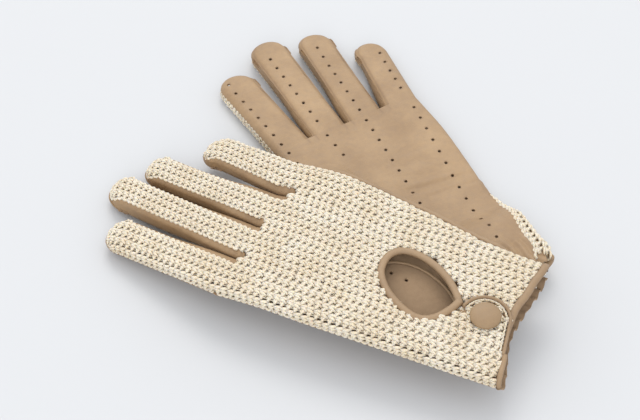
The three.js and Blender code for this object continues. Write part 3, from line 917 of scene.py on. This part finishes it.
def palm_hand(side):
    rows, columns = 186, 132
    y = np.linspace(0, KNUCKLE, rows)[:, None] * np.ones((1, columns))
    left, right = hand_edges(side, y)
    flat = (right - left) / 2 - ROLL
    low = -flat - ROLL * WRAP["leather"]["thumb"]
    stitched = flat + ROLL * (math.pi - 0.04 - little_seam(y))
    # past its seam the leather runs on under the crochet
    high = flat + ROLL * (math.pi - 0.04 - np.minimum(little_seam(y), 2.6))
    across = low + (high - low) * np.linspace(0, 1, columns)[None]
    middle = (left + right) / 2

    def place(a, s):
        plan = hand_point(side, "leather", a, s, 0 * a)
        hem = np.maximum(0, 1 - s / 26)
        relief = palm_relief(plan[:, 0], plan[:, 1]) * ease((plan[:, 2] - 5) / 4)
        relief = relief - 1.7 * ease((a - np.interp(s, y[:, 0], stitched[:, 0])) / 1.4)
        points = hand_point(side, "leather", a, s, relief)
        points[:, 1] += hem * (hem_rise(points[:, 0]) - 2.0 - 0.25 * np.sin(points[:, 0] * 0.9))
        return points

    def seam_and_shade(a, s):
        close = np.minimum(a - low, np.abs(stitched - a))
        slots = 0 * a
        for crotch in CROTCHES:
            d = np.abs(a + middle - crotch)
            slots = np.maximum(slots, 0.7 * bell(d - 2.6, 0.6) * ease((s - 141) / 3))
        # besides the seams and the crotch slots, the last term is painted shade: it darkens the palm from
        # its middle down toward the hem
        return np.maximum(slots, 0.5 * bell(close, 0.8)) + 0.22 * ease((118 - s) / 60)

    spots = [(x - float(np.interp(yy, y[:, 0], middle[:, 0])), yy) for x, yy in HAND_VENTS]
    return leather_sheet(f"{side}_nappa_palm", side, across, y.copy(), place, spots, seam_and_shade)


for side in SIDES:
    palm = palm_hand(side)
    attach(palm, f"{side}_hand")
    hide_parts(f"{side}_palm_hand")

# ---------- leather fronts of the fingers ----------
# Each front runs on from the palm, wider than the crochet, with a line of vent holes and a fine
# seam close to each edge. Fingertips are rounded and a little padded.


def finger_front(side, name):
    finger = FINGERS[name]
    top = straight_top(side, name)
    straight, cap, columns = int((top - KNUCKLE) / 0.85), 15, 46
    turn = np.linspace(math.pi - 0.03, 0.03, columns)
    lean = 1 - np.abs(turn / (math.pi / 2) - 1)
    y = np.linspace(KNUCKLE, top, straight)[:, None]
    half = finger_line(side, name, y)[1] - ROLL
    wide = rim_reach("leather", name, turn > math.pi / 2, 0)
    tip_wide = rim_reach("leather", name, turn > math.pi / 2, lean)
    share = ease((y - (top - 14)) / 14)
    # columns crowd toward the edges where the sheet bends over
    across = (half + wide * (1 - share) + tip_wide * share) * np.cos(turn)
    rim = finger["half"] - ROLL + tip_wide
    rise = np.linspace(0, 1, cap + 1)[1:, None]
    across = np.concatenate((across, rim * np.cos(turn)[None] * np.ones((cap, 1))))
    along = np.concatenate((y * np.ones((1, columns)), top + rise * rim * np.sin(turn)[None]))

    def place(a, s):
        pad = 0.35 * np.sin((s - KNUCKLE) / 11.0) + 0.5 * ease((s - top + 10) / 12)
        crease = -0.35 * bell(s - KNUCKLE - 25, 1.6) - 0.3 * bell(s - KNUCKLE - 48, 1.6)
        inside = ease((finger["half"] + 1 - np.abs(a)) / 5)
        return finger_point("leather", side, name, a, s, (pad + crease) * inside * ease((s - KNUCKLE) / 8))

    def seam_and_shade(a, s):
        beyond = np.maximum(s - top, 0)
        limit = finger["half"] - ROLL + rim_reach("leather", name, a < 0, 0)
        close = limit - np.hypot(a, beyond)
        sewn = np.isin(np.sign(a), finger["fourchettes"])
        line = 0.75 * bell(close - 2.0, 0.45) * sewn
        return np.maximum(line, 0.4 * bell(np.maximum(close, 0), 0.7))

    a, first = FINGER_VENTS[name]
    spots = [(a, first - VENT_GAP * k) for k in range(int((first - KNUCKLE - 1.5) / VENT_GAP) + 1)]
    return leather_sheet(f"{side}_nappa_{name}", side, across, along, place, spots, seam_and_shade)


for side in SIDES:
    for name in FINGERS:
        front = finger_front(side, name)
        hinge_line(front)
        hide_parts(f"{side}_palm_{name}")

# ---------- fourchettes ----------
# Narrow leather side strips between the fingers, sewn to the crochet edge above and to the leather
# front below. Two neighbours lean together into a groove and meet in the crotch in a small U.


def fourchette(side, name, edge):
    """The strip on one side of a finger; edge is -1 toward the thumb and 1 toward the little finger."""
    order = list(FINGERS)
    neighbour = order[order.index(name) + edge]
    slot = CROTCHES[min(order.index(name), order.index(neighbour))]
    top = straight_top(side, name)
    first = KNUCKLE - (9.4 if "little" in (name, neighbour) else 4.3)
    root, length = np.linspace(first, first + 9, 19), np.linspace(first + 10, top + 1, 34)
    length = np.concatenate((root, length, np.linspace(top + 2.2, top + 9.8, 8)))
    s, t = np.meshgrid(length, np.linspace(0, 1, 11), indexing="ij")
    middle, half = finger_line(side, name, np.minimum(s, top))
    into = np.clip(np.maximum(s - top, 0) / 11.0, 0, 0.97)
    upper, lower = 1.5 + 3.4 * into**1.5, 8.9 - 3.4 * into**1.5
    close, fold = ease((first + 48 - s) / 42), 0.6
    shallow = np.where(t < fold, 0.42 * t / fold, 0.42 + 0.58 * (t - fold) / (1 - fold))
    w = upper + (lower - upper) * (t**1.5 * (1 - close) + shallow * close)
    # the strip slopes out from the narrow crochet to the wide front, with a fold along its middle
    inset = ROLL - ROLL * math.sin(WRAP["crochet"]["slot_inner" if edge > 0 else "slot_outer"]) + 0.5
    bulge = -inset * (1 - t) ** 2.1 - 1.1 * t**3 - 0.3 * bell(t - 0.66, 0.13)
    reach = (half + bulge * (1 - into)) * np.sqrt(1 - into**2)
    x = middle + edge * reach
    # towards the crotch the strips lean together into a groove with a fold line along its bottom
    other, width = finger_line(side, neighbour, np.minimum(s, finger_tip(side, neighbour) - 12.0))
    groove = (middle + edge * half + other - edge * width) / 2 - edge * 0.25
    x = x + (groove - x) * 0.92 * np.minimum(t / fold, (1 - t) / (1 - fold)) ** 0.8 * close
    # in the crotch the top edge turns round in a U, and the foot stays closed for longer
    u = np.clip((s - first) / (3.2 + 8.0 * t), 0, 1)
    x = slot + (x - slot) * np.sqrt(1 - (1 - u) ** 2)
    points = np.stack((x, s, w), -1).reshape(-1, 3)
    faces = grid_faces(*s.shape)
    if edge > 0:
        faces = [face[::-1] for face in faces]
    # the dark line along the fold at the groove's bottom is painted shade; the marks at both long edges are
    # its seams
    mark = 0.1 + 0.9 * close * bell(t - fold, 0.1) + 0.4 * bell(t, 0.07) + 0.5 * bell(1 - t, 0.08)
    strip_name = f"{side}_side_{name}_{'inner' if edge > 0 else 'outer'}"
    strip = make_piece(strip_name, side, points, faces, marks=mark.ravel(), finishes=(NAPPA, FLESH_SIDE))
    return give_wall(strip, 0.7, back=1)


for side in SIDES:
    for name, finger in FINGERS.items():
        for edge in finger["fourchettes"]:
            strip = fourchette(side, name, edge)
            hinge_line(strip)
            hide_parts(f"{side}_fourchette_{name}_{'inner' if edge > 0 else 'outer'}")

# ---------- leather rolls that bind the edges ----------
# Strips of darker nappa folded over the raw edge of the crochet and sewn through: a wide one round
# the knuckle opening, a narrow one round the tab, and one along the hem on each side of the slit.


def roll_piece(name, side, path, wide, high, endless=False, sides=12):
    """A flattened roll along a path: wide lies on the cloth, high stands out of it."""
    path = np.asarray(path, float)
    heading, across = beside(path, endless)
    out = np.cross(heading, across)
    turn = circle(sides)
    flat = np.sign(np.cos(turn)) * np.abs(np.cos(turn)) ** 0.85
    wide, high = np.broadcast_to(wide, len(path)), np.broadcast_to(high, len(path))
    walked = walked_length(*path.T)
    pucker = 1 + 0.035 * np.sin(walked * 2.1) + 0.03 * np.sin(walked * 0.83 + 1)
    ring = wide[:, None, None] * flat[None, :, None] * across[:, None]
    ring = ring + (high * pucker)[:, None, None] * np.sin(turn)[None, :, None] * out[:, None]
    points = (path[:, None] + ring).reshape(-1, 3)
    faces = [face[:1] + face[:0:-1] for face in tube_faces(len(path), sides, endless)]
    mark = np.broadcast_to(0.4 * np.maximum(0, np.abs(flat) - 0.8) / 0.2, (len(path), sides))
    return make_piece(name, side, points, faces, marks=mark.ravel(), finishes=(TRIM_HIDE,))


def opening_path():
    line = egg_line(132)
    heading = unit(np.roll(line, -1, axis=0) - np.roll(line, 1, axis=0))
    inward = np.stack((-heading[:, 1], heading[:, 0]), -1) * 1.1
    near = np.linspace(0, 1, len(line), endpoint=False)
    rise = 1.9 * ease((near - 0.78) / 0.16) * ease((1 - near) / 0.012)
    return np.concatenate((line + inward, (0.55 - rise)[:, None]), 1)


def tab_edge(offset, steps=30):
    """Round the tab from the opening's point to its root near the hem, as (x, y)."""
    turn = np.linspace(math.radians(80), -math.pi / 2, steps)
    radius = 12.0 + offset
    x, y = SNAP[0] - 0.6 + radius * np.cos(turn), SNAP[1] - 0.6 + radius * np.sin(turn)
    tail = np.linspace(0, 1, 12)[1:]
    x = np.concatenate((x, SNAP[0] + (-24.5 - SNAP[0]) * tail))
    y = np.concatenate((y, y[-1] + (3.4 - offset - y[-1]) * tail))
    return x, y


def tab_top(x):
    """Depth of the tab's crochet face: it lifts off the hand from its root on."""
    return -1.7 * ease((x + 31) / 13)


def hem_path(side, first, last, count):
    low, high = hand_limits(side, np.array(6.0))
    high = high - ROLL * (float(little_seam(6.0)) - 1.75)
    across = np.linspace(low if first is None else first, high if last is None else last, count)
    x = hand_point(side, "crochet", across, across * 0 + 4.0, 0 * across)[:, 0]
    rise = np.where(x < slit_x(4.0), tab_rise(x, 0 * x + 4.0), 0)
    return hand_point(side, "crochet", across, hem_rise(x) + 0.5 + 0.3 * np.sin(across / 3.0), 0.7 + rise)


for side in SIDES:
    binding = roll_piece(f"{side}_opening_roll", side, opening_path(), 1.9, 1.45, endless=True)
    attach(binding, f"{side}_hand")
    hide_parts(f"{side}_opening_binding")
    near = roll_piece(f"{side}_hem_roll_thumb", side, hem_path(side, None, -24.0, 26), 1.3, 1.3)
    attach(near, f"{side}_hand")
    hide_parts(f"{side}_hem_binding_thumb")
    far = roll_piece(f"{side}_hem_roll_little", side, hem_path(side, -14.0, None, 60), 1.9, 1.45)
    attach(far, f"{side}_hand")
    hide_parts(f"{side}_hem_binding_little")

# ---------- seam welt of the little-finger side ----------
# Where the leather front meets the crochet along the outer side it is turned in and sewn, which
# leaves a soft leather roll beside the last row of stitches.


def welt_path(side):
    y = np.linspace(60 if side == "left" else 20, KNUCKLE - 1, 90)
    limit = hand_limits(side, y)[1]
    stand = 0.55 + 0.12 * np.sin(y * 0.9)
    if side == "right":
        # on the right glove the roll stands out and follows the seam down to the cuff
        limit = limit - ROLL * (little_seam(y) - np.minimum(little_seam(y), WRAP["crochet"]["little"]))
        stand = stand + 1.5 * ease((y - 20) / 12) * ease((132 - y) / 14)
    return hand_point(side, "crochet", limit + 0.9, y, stand)


for side in SIDES:
    welt = roll_piece(f"{side}_side_welt", side, welt_path(side), 1.25, 1.0, sides=10)
    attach(welt, f"{side}_hand")

# ---------- seam ridge inside the palm ----------
# A seam of the palm shows through the knuckle opening as a curved ridge on the leather's inner face.
for side in SIDES:
    walk = np.linspace(0, 1, 44)
    x = np.interp(walk, np.linspace(0, 1, 8), (-8, 1, 7.5, 12, 14.5, 14, 10, 3))
    y = np.interp(walk, np.linspace(0, 1, 8), (30, 36, 43, 52, 62, 71, 79, 84))
    x, y = (np.convolve(np.pad(v, 4, mode="edge"), np.full(9, 1 / 9), "valid") for v in (x, y))
    depth = 8.1 + 0.1 * np.sin(y * 1.1)
    ridge = roll_piece(f"{side}_palm_ridge", side, np.stack((x, y, depth), -1), 0.8, 0.5, sides=8)
    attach(ridge, f"{side}_hand")

# ---------- wrist tab ----------
# The crochet beside the slit runs out into a round tongue that laps over the far side. It is faced
# with thin leather below, bound with a narrow roll, and edged inside the roll with a pale chain.


def kept_on_tab(x, y, across):
    tongue = np.hypot(np.maximum(x - SNAP[0] + 0.6, 0), y - SNAP[1] + 0.6) < 10.2
    root = (x < SNAP[0]) & (y > hem_rise(x) + 1.4) & (y < TAB_TOP)
    clear = (x > TAB_ROOT) & (np.abs(across) < ON_THE_BACK) & (outside_opening(x, y) > 0.9)
    return (tongue | root) & clear


def tab_scallops():
    x, y = tab_edge(-1.5, 40)
    walked = walked_length(x, y)
    spots = np.arange(1.5, walked[-1] - 1.5, 2.6)

    def place_scallop(points, which):
        d = spots[which] + points[:, 0] * 0.7
        px, py, dx, dy = on_path(d, 0.4, walked, x, y)
        px, py = px + dy * points[:, 1] * 0.6, py - dx * points[:, 1] * 0.6
        return np.stack((px, py, tab_top(px) + 0.4 - points[:, 2] * 0.9), -1)

    return repeat(SCALLOP, len(spots), place_scallop)


def tab_hinge(piece):
    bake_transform(piece)


def tab_facing(side):
    across = np.linspace(0, 1, 34)[:, None]
    up = np.linspace(-1, 1, 26)[None]
    x = -24.0 + 28.0 * np.sin(across * math.pi / 2)
    half = np.sqrt(np.maximum(12.1**2 - np.maximum(x - SNAP[0], 0) ** 2, 0.3))
    y = SNAP[1] + up * half + 0 * x
    x = x + 0 * y
    points = np.stack((x, y, np.minimum(0.7, tab_top(x) + 1.7)), -1).reshape(-1, 3)
    mark = 0.5 * (np.abs(up) > 0.93) + 0 * x
    faces = grid_faces(*x.shape)
    sheet = make_piece(f"{side}_tab_lining", side, points, faces, marks=mark.ravel(), finishes=(NAPPA,))
    return give_wall(sheet, 0.5, offset=0)


for side in SIDES:
    tongue = hand_stitches(side, kept_on_tab, lambda x, y: -tab_top(x))
    tab = crochet_piece(f"{side}_crochet_tab", side, [tongue, tab_scallops()])
    tab_hinge(tab)
    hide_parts(f"{side}_tab")
    lining = tab_facing(side)
    tab_hinge(lining)
    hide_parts(f"{side}_tab_facing")
    x, y = tab_edge(0.0)
    edge = roll_piece(f"{side}_tab_roll", side, np.stack((x, y, tab_top(x) + 0.3), -1), 0.85, 1.3, sides=10)
    tab_hinge(edge)
    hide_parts(f"{side}_tab_binding")

# ---------- snap ----------
# A domed cap covered in the tan nappa, its hide turned under the rim. The brass socket behind it and
# the stud and post in the hand are the pressed parts of the fastener.


CAP_HIDE = make_hide("cap_nappa", (0.355, 0.235, 0.125), (0.29, 0.188, 0.098), 0.35)


def snap_dome(side):
    turn = np.linspace(0, math.pi / 2, 13)
    radii = np.concatenate(((0, 6.2, 7.2, 7.55), 7.6 * np.cos(turn[:-1]) ** 0.9))
    depths = np.concatenate(((-2.9, -2.9, -2.95, -3.2), -3.6 - 2.3 * np.sin(turn[:-1])))
    radii, depths = np.append(radii, 0), np.append(depths, -5.9)
    centre_x, centre_y = SNAP - 0.7
    sides = 48
    spin = circle(sides)
    points = [(centre_x, centre_y, depths[0])]
    for radius, depth in zip(radii[1:-1], depths[1:-1]):
        pleat = 1 + 0.006 * np.sin(spin * 9) * (depth > -4)
        x, y = centre_x + radius * pleat * np.cos(spin), centre_y + radius * pleat * np.sin(spin)
        points.extend(zip(x, y, np.full(sides, depth)))
    points.append((centre_x, centre_y, depths[-1]))
    faces = [(0, 1 + (i + 1) % sides, 1 + i)[::-1] for i in range(sides)]
    rings = len(radii) - 2
    for start in range(1, 1 + (rings - 1) * sides, sides):
        for i in range(sides):
            j = (i + 1) % sides
            faces.append((start + i, start + sides + i, start + sides + j, start + j))
    last = 1 + (rings - 1) * sides
    faces.extend((last + i, len(points) - 1, last + (i + 1) % sides) for i in range(sides))
    mark = [0.5] + [0.5 if d > -3.4 else 0.0 for d in depths[1:-1] for _ in range(sides)] + [0.0]
    return make_piece(f"{side}_snap_dome", side, np.array(points), faces, marks=mark, finishes=(CAP_HIDE,))


def make_brass():
    finish, tree, shader = new_finish("snap_brass", 0.35)
    shader.inputs["Metallic"].default_value = 1.0
    place = value_node(tree, "ShaderNodeTexCoord").outputs["Object"]
    tarnish, brush = noise(tree, place, 420.0, 3.0), noise(tree, place, 2600.0, 1.0)
    colour = blend_colour(tree, stretch(tree, tarnish, 0.4, 0.7), (0.72, 0.53, 0.25), (0.46, 0.31, 0.14))
    join(tree, colour, shader.inputs["Base Color"])
    join(tree, stretch(tree, brush, 0.3, 0.7, 0.26, 0.48), shader.inputs["Roughness"])
    bump(tree, shader, brush, 0.2, 0.00005)
    return finish


BRASS = make_brass()
for side in SIDES:
    dome = snap_dome(side)
    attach(dome, f"{side}_tab")
    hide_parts(f"{side}_snap_cap")
    for part in ("snap_socket", "snap_stud", "snap_post"):
        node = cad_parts[f"{side}_{part}"]
        node.data.materials.clear()
        node.data.materials.append(BRASS)

# ---------- wrist elastic ----------
# A band of corded elastic sewn inside the palm. It gathers the leather above it into small ruffles.


def make_elastic():
    finish, tree, shader = new_finish("corded_elastic", 0.85)
    place = value_node(tree, "ShaderNodeTexCoord").outputs["Object"]
    thread, tone = noise(tree, place, 1500.0, 2.0), noise(tree, place, 90.0, 2.0)
    colour = blend_colour(tree, stretch(tree, tone, 0.35, 0.65), (0.62, 0.53, 0.38), (0.75, 0.66, 0.50))
    colour = blend_colour(tree, stretch(tree, thread, 0.45, 0.6, 0.0, 0.4), colour, (0.40, 0.32, 0.21))
    join(tree, colour, shader.inputs["Base Color"])
    bump(tree, shader, thread, 0.5, 0.0001)
    return finish


ELASTIC = make_elastic()
for side in SIDES:
    x, y = np.meshgrid(np.linspace(-30, 30, 121), np.linspace(26, 34, 41), indexing="ij")
    cord = 0.16 * np.abs(np.sin((y - 26) * math.pi / 1.33)) + 0.18 * np.sin(x * 1.15)
    w = 8.05 - 0.8 * (x / 30) ** 2 - cord
    points = np.stack((x, y, w), -1).reshape(-1, 3)
    band = make_piece(f"{side}_corded_elastic", side, points, grid_faces(*x.shape), finishes=(ELASTIC,))
    give_wall(band, 0.45, offset=0)
    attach(band, f"{side}_hand")
    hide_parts(f"{side}_wrist_elastic")

# ---------- thumb ----------
# A flat bag of nappa set into the palm, seamed down both edges, with its ball padded and two soft
# creases at the joint. It folds flat over the palm when the glove is put away.


def thumb(side):
    x0, y0 = -20.0, 66.0  # the middle of its root
    lean = 0.2 if side == "left" else 0.07  # under the right glove it is tucked in
    bottom, top, base, tip = 10.3, 17.7, 13.5, 11.0
    inward = 1 - np.cos(np.radians((4, 10, 18, 27, 37, 48, 60, 73)))
    start, end, cap = -13.0, 54.0, base
    straight = np.linspace(start + cap, end - cap, 34)
    places = np.concatenate((start + cap * inward, straight, end - cap * inward[::-1]))
    sides = 44
    spin = circle(sides)
    points, marks = [], []
    for d in places:
        t = min(max(d / end, 0), 1)
        full = base + (tip - base) * t
        into = max(0.0, (start + cap - d) / cap, (d - (end - cap)) / cap)
        half = full * math.sqrt(max(0.0, 1 - into**2))
        high = (top - bottom) / 2 * (1 - into**4) ** 0.25
        crease = 1
        for depth, at, width in ((0.09, 26, 1.6), (0.07, 30.5, 1.3), (0.08, 4, 1.8)):
            crease = crease - depth * bell(d - at, width)
        px = half * np.sign(np.cos(spin)) * np.abs(np.cos(spin)) ** 0.72
        pz = high * crease * np.sign(np.sin(spin)) * np.abs(np.sin(spin)) ** 0.66
        cx, cy = x0 - math.sin(lean) * d, y0 + math.cos(lean) * d
        px_turned, py_turned = cx + math.cos(lean) * px, cy + math.sin(lean) * px
        points.append(np.stack((px_turned, py_turned, (top + bottom) / 2 + pz), -1))
        marks.append(0.7 * bell(pz, 0.45) * (np.abs(px) > 0.6 * half))
    points, marks = np.concatenate(points), np.concatenate(marks)
    faces = [face[::-1] for face in tube_faces(len(places), sides)]
    return make_piece(f"{side}_nappa_thumb", side, points, faces, marks=marks, finishes=(NAPPA,))


for side in SIDES:
    bag = thumb(side)
    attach(bag, f"{side}_thumb")
    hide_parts(f"{side}_thumb")
